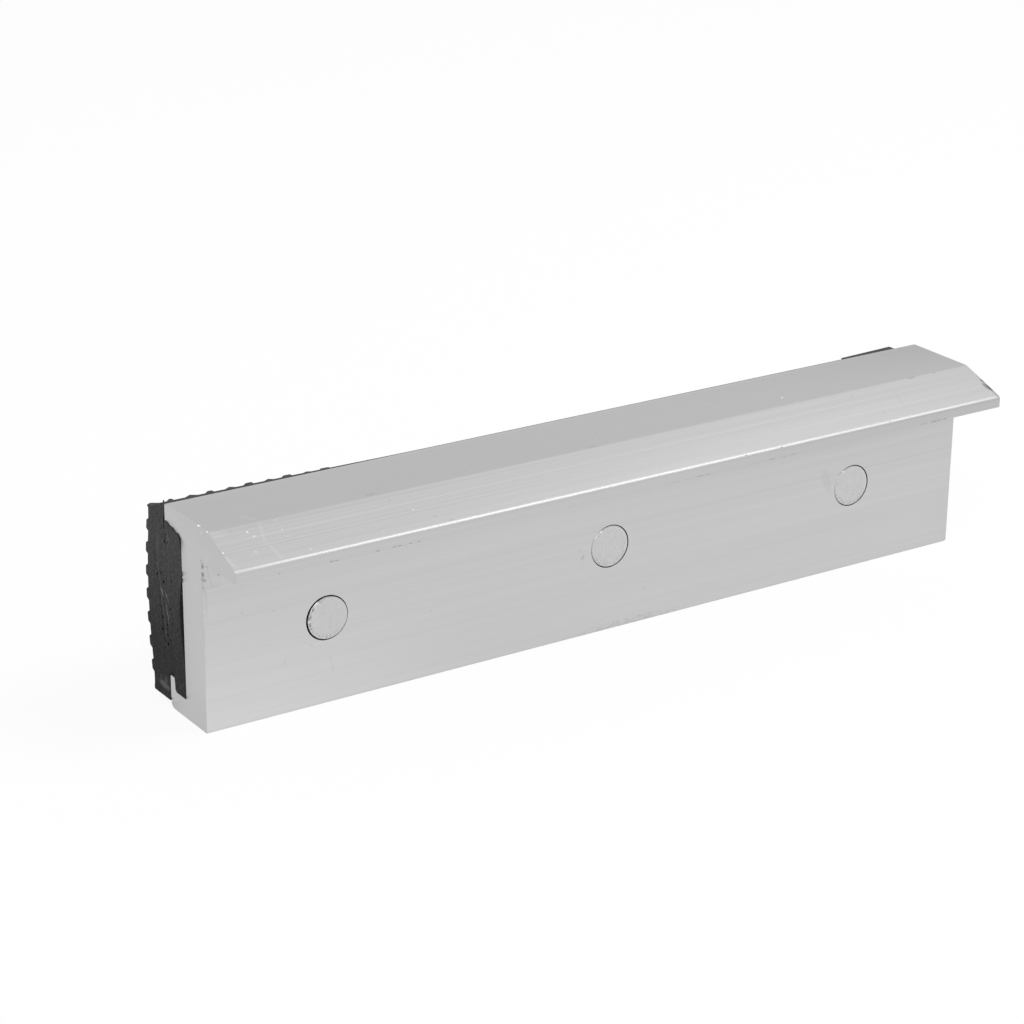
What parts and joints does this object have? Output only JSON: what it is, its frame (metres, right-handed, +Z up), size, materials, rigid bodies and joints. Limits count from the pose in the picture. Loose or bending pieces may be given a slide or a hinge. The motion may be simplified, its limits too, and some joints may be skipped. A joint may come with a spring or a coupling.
{
  "type": "magnetic rubber-faced vice soft jaw",
  "caption": "Soft jaw for a bench vice: an aluminium extrusion with a hooked flange, magnets in its back and a diamond-patterned rubber gripping face.",
  "frame": {"origin": "under the middle of the whole jaw, at the height of its underside", "axes": "+X along the jaw to the rubber's moulded end, +Y from the vice towards the workpiece, +Z up towards the flange and the flat top"},
  "size_m": [0.15, 0.0302, 0.034],
  "materials": {
    "aluminium": "plain extruded and sawn, satin, lightly scratched",
    "rubber": "matt moulded black, sawn at one end",
    "magnet_plating": "dull nickel plate over a sintered magnet"
  },
  "bodies": {
    "root": {"jaw_body": "aluminium", "rubber_pad": "rubber", "magnet_left": "magnet_plating", "magnet_centre": "magnet_plating", "magnet_right": "magnet_plating"}
  },
  "joints": []
}
